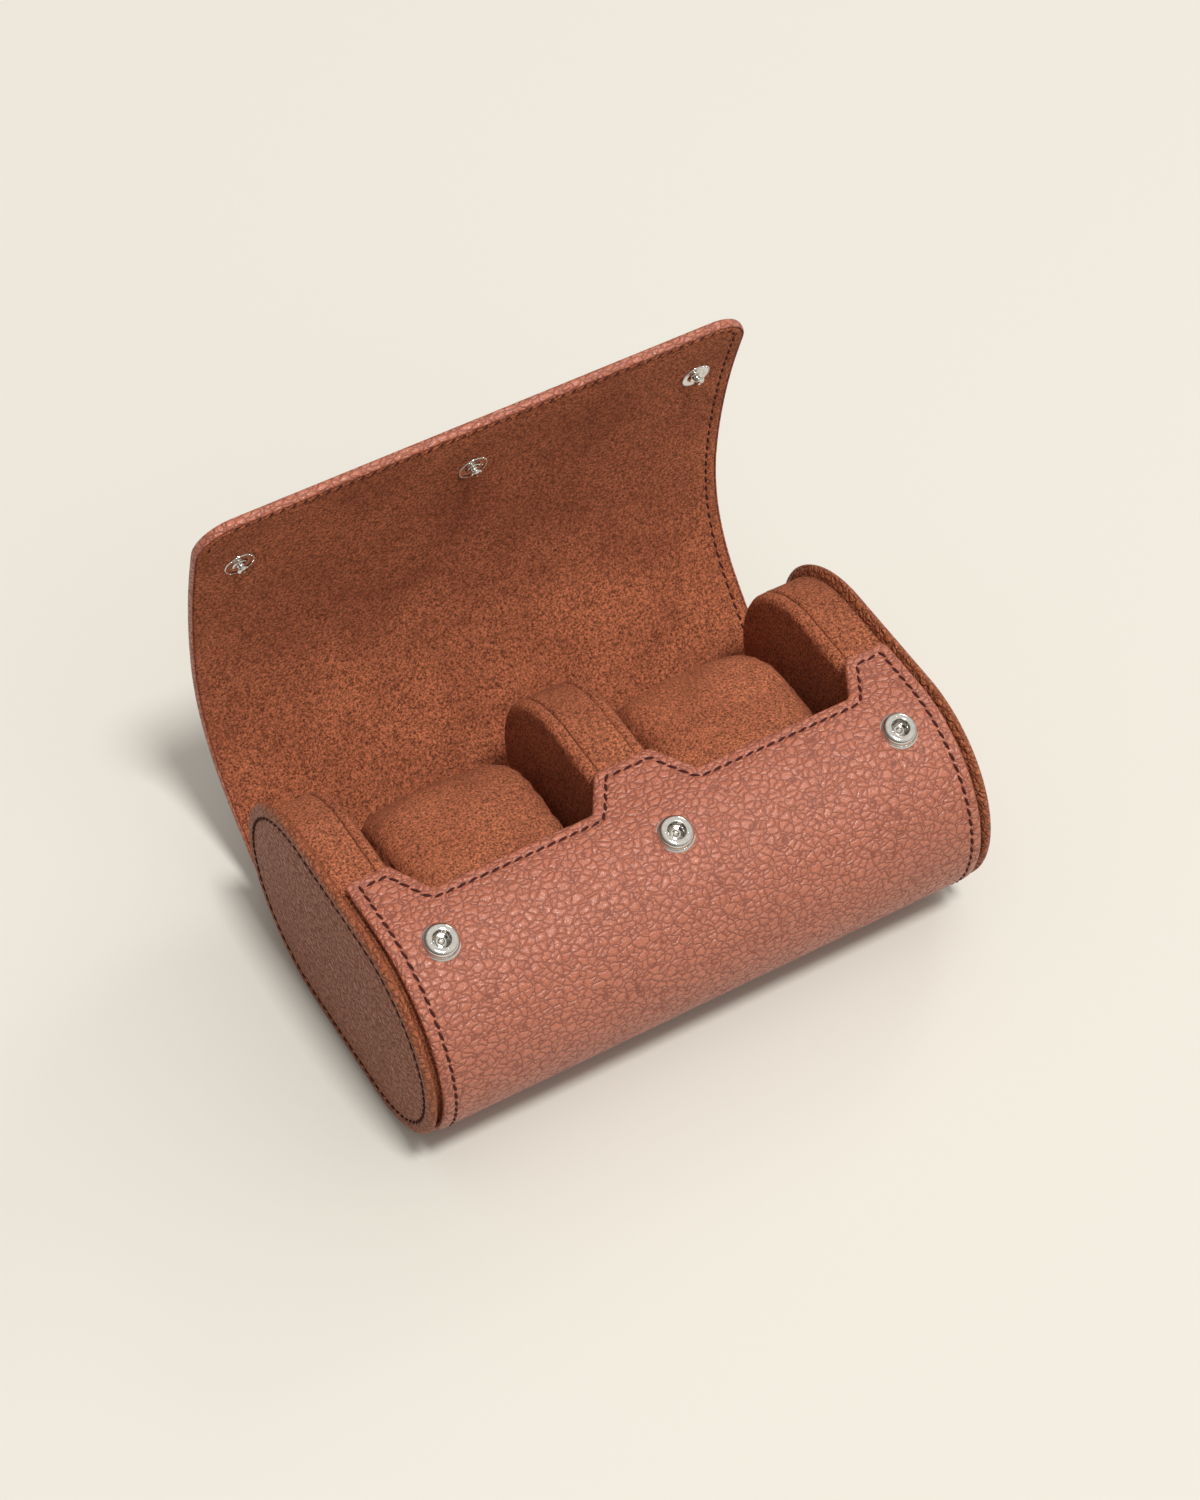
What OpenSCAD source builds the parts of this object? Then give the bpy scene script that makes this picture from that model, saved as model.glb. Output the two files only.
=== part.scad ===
// Roll-up case for two wrist watches: a rounded leather body with two cushions between padded
// dividers, and a long flap that curls over the top and snaps down on three ring snaps.
// Millimetres. X runs along the roll, -Y is the front, +Z is up, and the case lies on z = 0.

/* [Case] */
// Length of the leather sheet along the roll
sheet_w = 162.4; // [150:0.2:190]
// Outer radius of the rounded front and back
case_r = 34; // [33:0.5:38]
// Half length of the flat top and bottom
core_c = 17.5; // [16:0.5:22]
// Thickness of the outer leather
leather_t = 1.4; // [1.2:0.1:1.6]
// Thickness of the stiffening board
board_t = 0.7; // [0.4:0.1:0.8]
// Thickness of the suede lining with its backing
lining_t = 1.05; // [0.9:0.05:1.2]

/* [Front edge] */
// Depth of the three snap tabs
tab_d = 12; // [8:0.5:14]
// Distance from the middle of the case to the top edge of the tabs
tab_y = 0.8; // [0.5:0.1:3]
// Half width of the middle tab at its top
tab_top = 8.3; // [7:0.1:11]
// Half width of the middle tab at its base
tab_base = 15.75; // [14:0.25:20]
// Width of an end tab at its top
end_tab_top = 12.8; // [10:0.1:16]
// Width of an end tab at its base
end_tab_base = 19.2; // [17:0.1:24]

/* [End caps] */
// Gap between the sheet and a cap
cap_gap = 0.7; // [0.5:0.1:1]
// Thickness of a cap at its rim
cap_t = 3.1; // [2.8:0.1:4]
// Height of the padding in the middle of a cap
cap_crown = 0.8; // [0.4:0.1:1.2]
// Rounding of the outer rim of a cap
cap_edge = 2.2; // [1.2:0.1:2.6]
// Thickness of the board in a cap
cap_board_t = 1.6; // [1.2:0.1:1.8]

/* [End blocks and divider] */
// Thickness of the suede round the blocks
suede_t = 0.8; // [0.6:0.1:1]
// Thickness of a padded face without its crown
pad_t = 3.4; // [2.8:0.1:4]
// Crown of a padded face
pad_crown = 0.6; // [0.3:0.1:0.9]
// Rounding of the rim of a padded face
pad_edge = 2.6; // [1.5:0.1:2.8]
// Length of an end block from the cap to the seam
end_block = 11.1; // [9:0.1:14]
// Half length of the middle divider between its seams
mid_half = 5.6; // [4.5:0.1:7]

/* [Cushions] */
// Room left along the roll between a cushion and the padded faces, both ends together
cushion_slack = 4.65; // [3:0.05:10]
// Radius of the round front and back of a cushion
cushion_r = 27; // [24:0.5:27.5]
// Half length of the straight part of a cushion
cushion_c = 13; // [11:0.5:15]
// Rounding of the ends of a cushion
cushion_edge = 7; // [4:0.5:9]
// Crown of the end faces of a cushion
cushion_crown = 2; // [1:0.25:3]
// Bulge of the round side of a cushion
cushion_bulge = 1.2; // [0.6:0.1:2]
// Thickness of the cushion cover
cover_t = 1; // [0.8:0.1:1.4]

/* [Flap] */
// Length of one strip of the flap between two bends
strip_l = 14.4; // [14:0.1:15]
// Thickness of the flap
flap_t = 3; // [2.6:0.1:3.2]
// Radius of the corners at the free edge
flap_corner = 11; // [6:0.5:13]
// Width of the turned edge along the free end
hem_w = 1; // [0.6:0.1:2]
// Width of the turned edge along the sides
side_hem = 0.6; // [0.4:0.1:1]

/* [Snaps] */
// Distance from an end snap to the side of the sheet
snap_side = 13.2; // [12:0.1:16]
// Lean of the snaps to the front
snap_tilt = 18; // [16:0.5:20]
// Radius of a snap socket
socket_r = 5.3; // [4.8:0.1:5.6]
// Height of a snap socket
socket_h = 2.95; // [2.8:0.05:3]
// Radius of the hole in a socket
socket_hole = 2.4; // [2.2:0.1:2.6]
// Radius of the flange of a stud
stud_flange = 4.35; // [3.8:0.05:4.6]
// Radius of the head of a stud
stud_head = 1.6; // [1.3:0.05:1.6]
// Height of a stud above the lining
stud_h = 3.05; // [2.8:0.05:3.1]

/* [Hidden] */
$fn = 96;
// Room left where two layers are glued together
glue = 0.05;
leather_in = case_r - leather_t;
board_out = leather_in - glue;
board_in = board_out - board_t;
lining_out = board_in - glue;
lining_in = lining_out - lining_t;
drum_r = lining_in - glue;
// Distance of the board and of the lining from the edge of the leather
board_inset = 4;
lining_inset = 0.6;
// Rounding of the outer and the inner corners of the tabs
tab_corner = 2;
notch_corner = 1.5;

cap_x = sheet_w / 2 + cap_gap;
block_x = cap_x - glue;
seam_x = cap_x - end_block;
pad_seam = 0.6;
cap_seam = 0.8;
cap_wall = leather_t + glue;

bay_in = mid_half + 2 * glue + pad_t + pad_crown;
bay_out = seam_x - glue - pad_t - pad_crown;
cushion_x = (bay_in + bay_out) / 2;
cushion_w = bay_out - bay_in - cushion_slack;
// How far each cushion is pushed aside in its bay
cushion_push = [-1.2, -0.7];
cushion_z = case_r - lining_in + 0.3 + cushion_r;

// Slope of each strip of the open flap, in degrees above the table
open_angles = [0, 5, 33, 44, 50, 66, 82, 94, 99, 103, 107, 109];
strips = len(open_angles);
stud_strip = strips - 2;
// Room cut from both ends of a strip at its outer and at its inner face
bend_out = 0.12;
bend_in = 0.62;
skin_z = -flap_t / 2 + leather_t;

// The sockets are let into the leather by this much
seat_depth = 0.8;
seat_z = case_r - seat_depth;
snap_gap = sheet_w / 2 - snap_side;
seat_r = socket_r + 0.1;
bead_r = 0.35;
ring_r = 3.3;
ring_bend = 1.35;
shoulder_h = 1.2;
post_r = 1.6;
post_flange = 4.5;
post_flange_t = 0.42;
socket_floor = 0.3;
spring_r = 0.3;
spring_l = 4.6;
spring_gap = 2;
spring_z = seat_z + 1.75;
groove_r = 3.35;
stud_flange_t = 0.5;
// The head of a stud is a low dome on a straight rim, and its neck is thinner
head_r = 2.2;
head_dome = head_r - sqrt(head_r * head_r - stud_head * stud_head);
head_rim = 0.35;
neck_r = 0.95;
// A collar on its flange drops into the hole of the socket
collar_r = socket_hole - 0.4;
collar_h = 0.85;
pin_r = 0.6;
pin_disc = 4;

leather_color = [0.50, 0.24, 0.13];
suede_color = [0.45, 0.20, 0.11];
board_color = [0.55, 0.47, 0.36];
foam_color = [0.85, 0.82, 0.72];
nickel_color = [0.80, 0.79, 0.76];

// Point t of the way round a corner rounded to radius r, from the side of a to the side of b
function corner_point(a, p, b, r, t) =
    let (u = (a - p) / norm(a - p), v = (b - p) / norm(b - p), h = acos(u * v) / 2,
        c = p + (u + v) / norm(u + v) * r / sin(h), w = 180 - 2 * h,
        s = p + u * r / tan(h) - c, e = p + v * r / tan(h) - c)
    c + (s * sin((1 - t) * w) + e * sin(t * w)) / sin(w);

// The outline through points p with corner radii r, where r = 0 leaves a corner sharp
function rounded(p, r, n = 6) = [for (i = [0:len(p) - 1])
    let (a = p[(i + len(p) - 1) % len(p)], b = p[(i + 1) % len(p)])
    for (j = [0:(r[i] > 0 ? n : 0)])
        r[i] > 0 ? corner_point(a, p[i], b, r[i], j / n) : p[i]];

// Points of an arc round centre c with radius r, from angle a0 to angle a1
function arc(c, r, a0, a1, n) = [for (i = [0:n]) let (a = a0 + (a1 - a0) * i / n)
    c + r * [cos(a), sin(a)]];

// How far a slanted tab corner moves in when the outline is set in by 1
function slant(run) = (norm([run, tab_d]) - run) / tab_d;

// Half of the front edge from the middle of the middle tab to the side, set in by m
function half_edge(m) =
    let (km = slant(tab_base - tab_top), ke = slant(end_tab_base - end_tab_top), w = sheet_w / 2)
    [[tab_top - km * m, -tab_y - m], [tab_base - km * m, -tab_y - tab_d - m],
        [w - end_tab_base + ke * m, -tab_y - tab_d - m], [w - end_tab_top + ke * m, -tab_y - m],
        [w - m, -tab_y - m], [w - m, -core_c - case_r - 1]];
half_radii = [tab_corner, notch_corner, notch_corner, tab_corner, tab_corner, 0];

function mirrored(p) = [for (i = [len(p) - 1:-1:0]) [-p[i][0], p[i][1]]];
function backwards(p) = [for (i = [len(p) - 1:-1:0]) p[i]];

// Start of strip i of the flap in the section plane
function strip_start(i) = i == 0 ? [core_c, flap_t / 2]
    : strip_start(i - 1) + strip_l * [cos(open_angles[i - 1]), sin(open_angles[i - 1])];

// Oval of radius r round the two arc centres of the case
module oval(r) {
    for (s = [-1, 1]) {
        translate([s * core_c, case_r]) circle(r);
    }
    translate([-core_c, case_r - r]) square([2 * core_c, 2 * r]);
}

// Runs a drawing of the section along the roll from x0 to x1
module along(x0, x1) {
    translate([x0, 0, 0]) rotate([90, 0, 90]) linear_extrude(x1 - x0) children();
}

// Everything the body sheet reaches, set in by m from its edges
module sheet_reach(m) {
    top = concat(mirrored(half_edge(m)), half_edge(m));
    radii = concat(backwards(half_radii), half_radii);
    translate([0, 0, case_r]) linear_extrude(case_r + 1) polygon(rounded(top, radii));
    translate([m - sheet_w / 2, -core_c - case_r - 1, -1])
        cube([sheet_w - 2 * m, 2 * core_c + case_r + 1 - m, case_r + 1]);
}

module sheet_layer(r0, r1, m) {
    intersection() {
        along(-sheet_w / 2, sheet_w / 2) difference() {
            oval(r1);
            oval(r0);
        }
        sheet_reach(m);
    }
}

// Puts the children at each snap of the body, with z the distance from the arc centre
module at_snaps() {
    for (i = [-1:1]) {
        translate([i * snap_gap, -core_c, case_r]) rotate([snap_tilt, 0, 0]) children();
    }
}

module shell_leather() {
    color(leather_color) difference() {
        sheet_layer(leather_in, case_r, 0);
        at_snaps() {
            translate([0, 0, seat_z]) cylinder(r = seat_r, h = 2);
            translate([0, 0, seat_z - 2]) cylinder(r = post_r + 0.1, h = 3);
        }
    }
}

module shell_board() {
    color(board_color) difference() {
        sheet_layer(board_in, board_out, board_inset);
        at_snaps() translate([0, 0, board_in - 1]) cylinder(r = post_flange + 0.1, h = 3);
    }
}

module shell_lining() {
    color(suede_color) sheet_layer(lining_in, lining_out, lining_inset);
}

// Round plate stretched by 2 * c along x: the child is its half profile, radius against height
module stretched(c) {
    for (s = [-1, 1]) {
        translate([s * c, 0, 0]) rotate([0, 0, -90 * s]) rotate_extrude(angle = 180) children();
    }
    rotate([90, 0, 90]) translate([0, 0, -c]) linear_extrude(2 * c) {
        children();
        mirror([1, 0]) children();
    }
}

// Stands a stretched plate up at distance x, facing the end of the roll
module facing_end(x, z) {
    translate([x, 0, z]) rotate([90, 0, 90]) children();
}

// Half profile of a padded plate: radius, thickness, rim rounding, rounding at the seam, crown
module pad_profile(r, t, edge, seam, crown) {
    flat = r - edge;
    bow = (flat * flat + crown * crown) / (2 * crown);
    polygon(concat(arc([0, t + crown - bow], bow, 90, acos(flat / bow), 10), [[flat, 0], [0, 0]]));
    intersection() {
        translate([flat, t - edge]) circle(edge);
        translate([0, seam]) square([r, t]);
    }
    intersection() {
        translate([r - seam, seam]) circle(seam);
        square([r, t]);
    }
    square([r - seam, t - edge]);
    translate([0, seam]) square([r, t - edge - seam]);
}

module cap_leather(s) {
    color(leather_color) mirror([s < 0 ? 1 : 0, 0, 0]) difference() {
        facing_end(cap_x, case_r) stretched(core_c)
            pad_profile(case_r, cap_t, cap_edge, cap_seam, cap_crown);
        along(cap_x - 1, cap_x + cap_board_t + glue) oval(case_r - cap_wall);
    }
}

module cap_board(s) {
    color(board_color) mirror([s < 0 ? 1 : 0, 0, 0])
        along(cap_x, cap_x + cap_board_t) oval(case_r - cap_wall - glue);
}

module end_core(s) {
    color(foam_color) mirror([s < 0 ? 1 : 0, 0, 0])
        along(seam_x, block_x) oval(drum_r - suede_t - glue);
}

module band(x0, x1) {
    color(suede_color) along(x0, x1) difference() {
        oval(drum_r);
        oval(drum_r - suede_t);
    }
}

module end_band(s) {
    mirror([s < 0 ? 1 : 0, 0, 0]) band(seam_x + glue, block_x);
}

module block_pad() {
    color(suede_color) stretched(core_c)
        pad_profile(drum_r, pad_t, pad_edge, pad_seam, pad_crown);
}

module end_pad(s) {
    mirror([s > 0 ? 1 : 0, 0, 0]) facing_end(-seam_x + glue, case_r) block_pad();
}

module mid_core() {
    color(foam_color) along(-mid_half - glue, mid_half + glue) oval(drum_r - suede_t - glue);
}

module mid_pad(s) {
    mirror([s < 0 ? 1 : 0, 0, 0]) facing_end(mid_half + 2 * glue, case_r) block_pad();
}

// Half profile of a cushion, set in by d: bulging side, crowned ends, round corners between
module cushion_profile(d) {
    half = cushion_w / 2;
    side_run = half - cushion_edge;
    side_bow = (side_run * side_run + cushion_bulge * cushion_bulge) / (2 * cushion_bulge);
    end_run = cushion_r - cushion_edge;
    end_bow = (end_run * end_run + cushion_crown * cushion_crown) / (2 * cushion_crown);
    p = [cushion_r - side_bow, 0];
    q = [0, half - end_bow];
    rp = side_bow - cushion_edge;
    rq = end_bow - cushion_edge;
    span = norm(q - p);
    along_pq = (span * span + rp * rp - rq * rq) / (2 * span);
    off_pq = sqrt(rp * rp - along_pq * along_pq);
    u = (q - p) / span;
    k = p + along_pq * u + off_pq * [-u[1], u[0]];
    side_a = atan2(k[1] - p[1], k[0] - p[0]);
    end_a = atan2(k[1] - q[1], k[0] - q[0]);
    upper = concat(
        arc(p, side_bow - d, 0, side_a, 5),
        arc(k, cushion_edge - d, side_a + 12, end_a - 8, 6),
        arc(q, end_bow - d, end_a, 90, 6));
    n = len(upper) - 1;
    polygon(concat(upper, [for (i = [n:-1:1]) [upper[i][0], -upper[i][1]]]));
}

module cushion(i, d) {
    x = (2 * i - 1) * cushion_x + cushion_push[i];
    facing_end(x, cushion_z) stretched(cushion_c) cushion_profile(d);
}

module cushion_cover(i) {
    color(suede_color) difference() {
        cushion(i, 0);
        cushion(i, cover_t);
    }
}

module cushion_core(i) {
    color(foam_color) cushion(i, cover_t + glue);
}

// Puts the children at the start of strip i, with y along the strip and z to the lining
module on_strip(i) {
    p = strip_start(i);
    translate([0, p[0], p[1]]) rotate([open_angles[i], 0, 0]) children();
}

// Strip i between heights z0 and z1, set in by m at the sides and h at the free end
module strip_body(i, z0, z1, m, h) {
    w = sheet_w - 2 * m;
    y0 = bend_out + (z0 + flap_t / 2) / flap_t * (bend_in - bend_out);
    y1 = bend_out + (z1 + flap_t / 2) / flap_t * (bend_in - bend_out);
    last = i == strips - 1;
    intersection() {
        along(-w / 2, w / 2) polygon([[y0, z0], [y1, z1],
            [strip_l - (last ? 0 : y1), z1], [strip_l - (last ? 0 : y0), z0]]);
        if (last) {
            translate([0, 0, z0 - 1]) linear_extrude(z1 - z0 + 2) polygon(rounded(
                [[-w / 2, -1], [w / 2, -1], [w / 2, strip_l - h], [-w / 2, strip_l - h]],
                [0, 0, flap_corner - h, flap_corner - h], 10));
        }
    }
}

module flap_leather(i) {
    color(leather_color) on_strip(i) difference() {
        strip_body(i, -flap_t / 2, flap_t / 2, 0, 0);
        strip_pocket(i);
    }
}

// Room for the lining in the leather of strip i
module strip_pocket(i) {
    last = i == strips - 1;
    w = sheet_w - 2 * side_hem + 2 * glue;
    translate([0, 0, skin_z]) linear_extrude(flap_t) polygon(rounded(
        [[-w / 2, -1], [w / 2, -1], [w / 2, strip_l + (last ? glue - hem_w : 1)],
            [-w / 2, strip_l + (last ? glue - hem_w : 1)]],
        [0, 0, last ? flap_corner - hem_w : 0, last ? flap_corner - hem_w : 0], 10));
}

module flap_lining(i) {
    color(suede_color) on_strip(i) difference() {
        strip_body(i, skin_z + glue, flap_t / 2, side_hem, hem_w);
        if (i == stud_strip) {
            at_studs() {
                translate([0, 0, skin_z]) cylinder(r = pin_disc + glue, h = 0.45);
                cylinder(r = 2 * pin_r + glue, h = flap_t);
            }
        }
    }
}

// Puts the children at each stud, in the frame of its strip
module at_studs() {
    for (i = [-1:1]) {
        translate([i * snap_gap, strip_l / 2, 0]) children();
    }
}

// Half profile of a socket: a flange with a rolled rim, a shoulder and a domed ring
module socket_profile() {
    square([socket_r - bead_r, 2 * bead_r]);
    translate([socket_r - bead_r, bead_r]) circle(bead_r);
    translate([socket_r - 2 * bead_r - 0.05, 2.5 * bead_r]) circle(bead_r);
    square([ring_r + ring_bend, shoulder_h]);
    square([ring_r, socket_h]);
    intersection() {
        translate([ring_r, socket_h - ring_bend]) circle(ring_bend);
        square([socket_r, socket_h]);
    }
}

module snap_sockets() {
    color(nickel_color) at_snaps() translate([0, 0, seat_z]) rotate_extrude() difference() {
        socket_profile();
        translate([0, socket_floor]) square([socket_hole, socket_h]);
        translate([0, -1]) square([post_r + 0.1, 2]);
        translate([0, spring_z - seat_z - spring_r]) square([groove_r, 2 * spring_r + 0.04]);
    }
}

module socket_springs() {
    color(nickel_color) at_snaps() for (s = [-1, 1]) {
        translate([s * spring_gap, 0, spring_z + 0.02]) rotate([90, 0, 0])
            cylinder(r = spring_r, h = spring_l, center = true);
    }
}

module socket_posts() {
    color(nickel_color) at_snaps() rotate_extrude() difference() {
        union() {
            translate([0, board_in]) square([post_flange, post_flange_t]);
            translate([0, board_in]) square([post_r, seat_z + socket_floor + 0.2 - board_in]);
            translate([0, seat_z + socket_floor]) square([post_r + 0.3, 0.22]);
        }
        translate([0, board_in + 0.4]) square([post_r - 0.5, 3]);
    }
}

module snap_studs() {
    color(nickel_color) on_strip(stud_strip) at_studs() translate([0, 0, flap_t / 2])
        rotate_extrude() difference() {
            union() {
                square([stud_flange - 0.25, stud_flange_t]);
                translate([stud_flange - 0.25, 0.25]) circle(0.25);
                square([collar_r, collar_h]);
                square([neck_r, stud_h - head_dome]);
                translate([0, stud_h - head_dome - head_rim]) square([stud_head, head_rim]);
                intersection() {
                    translate([0, stud_h - head_r]) circle(head_r);
                    translate([0, stud_h - head_dome]) square([stud_head, head_dome]);
                }
            }
            translate([0, -1]) square([pin_r + 0.02, stud_h + 0.1]);
        }
}

module stud_posts() {
    color(nickel_color) on_strip(stud_strip) at_studs() {
        translate([0, 0, skin_z + glue]) cylinder(r = pin_disc, h = 0.35);
        translate([0, 0, skin_z + glue]) cylinder(r = 2 * pin_r, h = flap_t / 2 - skin_z - 2 * glue);
        cylinder(r = pin_r, h = flap_t / 2 + stud_h - 1);
    }
}

shell_leather();
shell_board();
shell_lining();
cap_leather(-1);  // cap_leather_left
cap_leather(1);  // cap_leather_right
cap_board(-1);  // cap_board_left
cap_board(1);  // cap_board_right
end_core(-1);  // end_core_left
end_core(1);  // end_core_right
end_band(-1);  // end_band_left
end_band(1);  // end_band_right
end_pad(-1);  // end_pad_left
end_pad(1);  // end_pad_right
mid_core();
band(-mid_half, mid_half);  // mid_band
mid_pad(-1);  // mid_pad_left
mid_pad(1);  // mid_pad_right
cushion_cover(0);  // cushion_cover_left
cushion_cover(1);  // cushion_cover_right
cushion_core(0);  // cushion_core_left
cushion_core(1);  // cushion_core_right
for (i = [0:strips - 1]) {
    flap_leather(i);
    flap_lining(i);
}
snap_sockets();
socket_springs();
socket_posts();
snap_studs();
stud_posts();
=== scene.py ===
import math

import bmesh
import bpy
from mathutils import Matrix, Vector, noise
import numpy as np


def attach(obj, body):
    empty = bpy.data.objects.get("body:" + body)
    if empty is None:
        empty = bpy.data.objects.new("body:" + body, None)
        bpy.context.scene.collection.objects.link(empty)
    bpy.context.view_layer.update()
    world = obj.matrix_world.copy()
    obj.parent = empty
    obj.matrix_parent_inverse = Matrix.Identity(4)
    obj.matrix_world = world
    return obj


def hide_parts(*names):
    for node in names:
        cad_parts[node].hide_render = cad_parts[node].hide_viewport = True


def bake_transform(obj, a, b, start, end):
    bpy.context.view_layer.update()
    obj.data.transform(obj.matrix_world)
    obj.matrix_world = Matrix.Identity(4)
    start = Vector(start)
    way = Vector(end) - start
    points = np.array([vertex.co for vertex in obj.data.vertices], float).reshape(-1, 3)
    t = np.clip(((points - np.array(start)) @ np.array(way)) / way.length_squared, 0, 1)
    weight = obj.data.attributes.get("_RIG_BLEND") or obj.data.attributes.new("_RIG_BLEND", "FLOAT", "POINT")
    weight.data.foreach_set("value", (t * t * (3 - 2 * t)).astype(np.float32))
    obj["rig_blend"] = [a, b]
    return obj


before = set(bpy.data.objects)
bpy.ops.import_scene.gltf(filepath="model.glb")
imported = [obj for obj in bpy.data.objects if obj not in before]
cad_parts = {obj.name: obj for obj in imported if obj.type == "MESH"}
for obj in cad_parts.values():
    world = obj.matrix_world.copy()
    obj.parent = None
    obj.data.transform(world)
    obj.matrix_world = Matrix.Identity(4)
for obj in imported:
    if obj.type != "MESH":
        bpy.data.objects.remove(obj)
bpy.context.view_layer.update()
MM = 0.001

# Camera and studio.
# The case lies on a cream table, seen from above its left front corner. One soft lamp stands
# high in front of it, a little to the right, and paler light comes from all round.

camera = bpy.data.objects.new("camera", bpy.data.cameras.new("camera"))
bpy.context.scene.collection.objects.link(camera)
bpy.context.scene.camera = camera
turn, rise = math.radians(-30.51), math.radians(51.13)
look_back = Vector((math.sin(turn) * math.cos(rise), -math.cos(turn) * math.cos(rise), math.sin(rise)))
look_right = Vector((math.cos(turn), math.sin(turn), 0))
camera.matrix_world = Matrix.Translation((-0.2968, -0.5037, 0.7594)) @ Matrix(
    (look_right, look_back.cross(look_right), look_back)).transposed().to_4x4()
camera.data.sensor_fit = "VERTICAL"
camera.data.sensor_height = 36
camera.data.lens = 84.07
camera.data.shift_x = -0.0132
camera.data.shift_y = 0.0595
camera.data.clip_end = 20


def area_lamp(name, place, target, size, power, colour):
    lamp = bpy.data.objects.new(name, bpy.data.lights.new(name, "AREA"))
    lamp.data.shape = "DISK"
    lamp.data.size = size
    lamp.data.energy = power
    lamp.data.color = colour
    lamp.location = place
    lamp.rotation_euler = (Vector(place) - Vector(target)).to_track_quat("Z", "Y").to_euler()
    bpy.context.scene.collection.objects.link(lamp)


area_lamp("key_lamp", (0.22, -1.8, 4.7), (0, 0, 0.05), 0.9, 185, (1.0, 0.975, 0.945))
area_lamp("glint_lamp", (1.9, 1.2, 1.5), (0, 0, 0.05), 0.7, 6, (1.0, 0.98, 0.96))

world = bpy.data.worlds.new("studio")
bpy.context.scene.world = world
world.use_nodes = True
world_nodes, world_links = world.node_tree.nodes, world.node_tree.links
world_nodes["Background"].inputs["Color"].default_value = (1.0, 0.96, 0.90, 1)
sky = world_nodes.new("ShaderNodeTexCoord")
toward = world_nodes.new("ShaderNodeVectorMath")
toward.operation = "DOT_PRODUCT"
toward.inputs[1].default_value = (0.35, -0.2, 0.92)
paler = world_nodes.new("ShaderNodeMapRange")
paler.interpolation_type = "SMOOTHSTEP"
paler.inputs["From Min"].default_value = 0.15
paler.inputs["From Max"].default_value = 0.92
paler.inputs["To Min"].default_value = 0.16
paler.inputs["To Max"].default_value = 0.85
world_links.new(sky.outputs["Generated"], toward.inputs[0])
world_links.new(toward.outputs["Value"], paler.inputs["Value"])
world_links.new(paler.outputs[0], world_nodes["Background"].inputs["Strength"])
bpy.context.scene.view_settings.view_transform = "Standard"


def new_material(name):
    """A material, its node tree and its Principled shader."""
    material = bpy.data.materials.new(name)
    material.use_nodes = True
    tree = material.node_tree
    return material, tree, tree.nodes["Principled BSDF"]


def node(tree, kind, **settings):
    made = tree.nodes.new(kind)
    for key, value in settings.items():
        if key in made.inputs:
            made.inputs[key].default_value = value
        else:
            setattr(made, key, value)
    return made


table_material, tree, shader = new_material("cream_table")
shader.inputs["Base Color"].default_value = (0.665, 0.655, 0.605, 1)
shader.inputs["Roughness"].default_value = 0.85
shader.inputs["Specular IOR Level"].default_value = 0.15
bm = bmesh.new()
bmesh.ops.create_grid(bm, x_segments=1, y_segments=1, size=6)
table_mesh = bpy.data.meshes.new("table")
bm.to_mesh(table_mesh)
bm.free()
table = bpy.data.objects.new("table", table_mesh)
table_mesh.materials.append(table_material)
bpy.context.scene.collection.objects.link(table)

# Body sheet.
# One piece of pebbled leather over a thin board, 162 mm wide, bent round the front into an
# oval. Its edge is turned in and sewn, and three tabs at the front carry the snap sockets,
# each seated over a round hollow that the stud dips into.

sheet_w, case_r, core_c = 162.4, 34.0, 17.5
tab_depth, tab_y = 12.0, 0.8
front_s = 2 * core_c + math.pi * case_r
top_s = front_s + core_c - tab_y
base_s = top_s - tab_depth
back_s = 7.2
edge_t = 2.15


def rounded(corners, radii, steps=6):
    """The outline through the corners, each turned with its radius; 0 leaves it sharp."""
    points = []
    for i, radius in enumerate(radii):
        corner = Vector(corners[i])
        before = (Vector(corners[i - 1]) - corner).normalized()
        after = (Vector(corners[(i + 1) % len(corners)]) - corner).normalized()
        if not radius:
            points.append(corner)
            continue
        half = before.angle(after) / 2
        centre = corner + (before + after).normalized() * radius / math.sin(half)
        start = corner + before * radius / math.tan(half) - centre
        end = corner + after * radius / math.tan(half) - centre
        arc = math.pi - 2 * half
        for j in range(steps + 1):
            t = j / steps
            swung = start * math.sin((1 - t) * arc) + end * math.sin(t * arc)
            points.append(centre + swung / math.sin(arc))
    return points


def slant(run):
    return (math.hypot(run, tab_depth) - run) / tab_depth


def body_outline(inset):
    """Outline of the body sheet laid flat, x along the roll and y along the leather."""
    mid, end, w = slant(7.45), slant(6.4), sheet_w / 2
    half = [(w - inset, back_s), (w - inset, top_s - inset), (w - 12.8 + end * inset, top_s - inset),
            (w - 19.2 + end * inset, base_s - inset), (15.75 - mid * inset, base_s - inset),
            (8.3 - mid * inset, top_s - inset)]
    outer, inner = max(2.0 - inset, 0.6), 1.5 + inset
    turns = [0, outer, outer, inner, inner, outer]
    corners = half + [(-x, y) for x, y in reversed(half)]
    return rounded(corners, turns + turns[::-1])


def draw_up(bm, outline, rows):
    """A closed plate: an outline drawn up row by row, each row an inset and a height."""
    first = [bm.verts.new((p[0], p[1], rows[0][1])) for p in outline(rows[0][0])]
    bm.faces.new(list(reversed(first)))
    ring = first
    for inset, height in rows[1:]:
        edges = [bm.edges.get((ring[i - 1], ring[i])) for i in range(len(ring))]
        made = bmesh.ops.extrude_edge_only(bm, edges=edges)["geom"]
        fresh = {v for v in made if isinstance(v, bmesh.types.BMVert)}
        ring = [next(e.other_vert(v) for e in v.link_edges if e.other_vert(v) in fresh) for v in ring]
        for vert, p in zip(ring, outline(inset)):
            vert.co = (p[0], p[1], height)
    bmesh.ops.contextual_create(bm, geom=[bm.edges.get((ring[i - 1], ring[i])) for i in range(len(ring))])
    bmesh.ops.recalc_face_normals(bm, faces=bm.faces)


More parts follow.
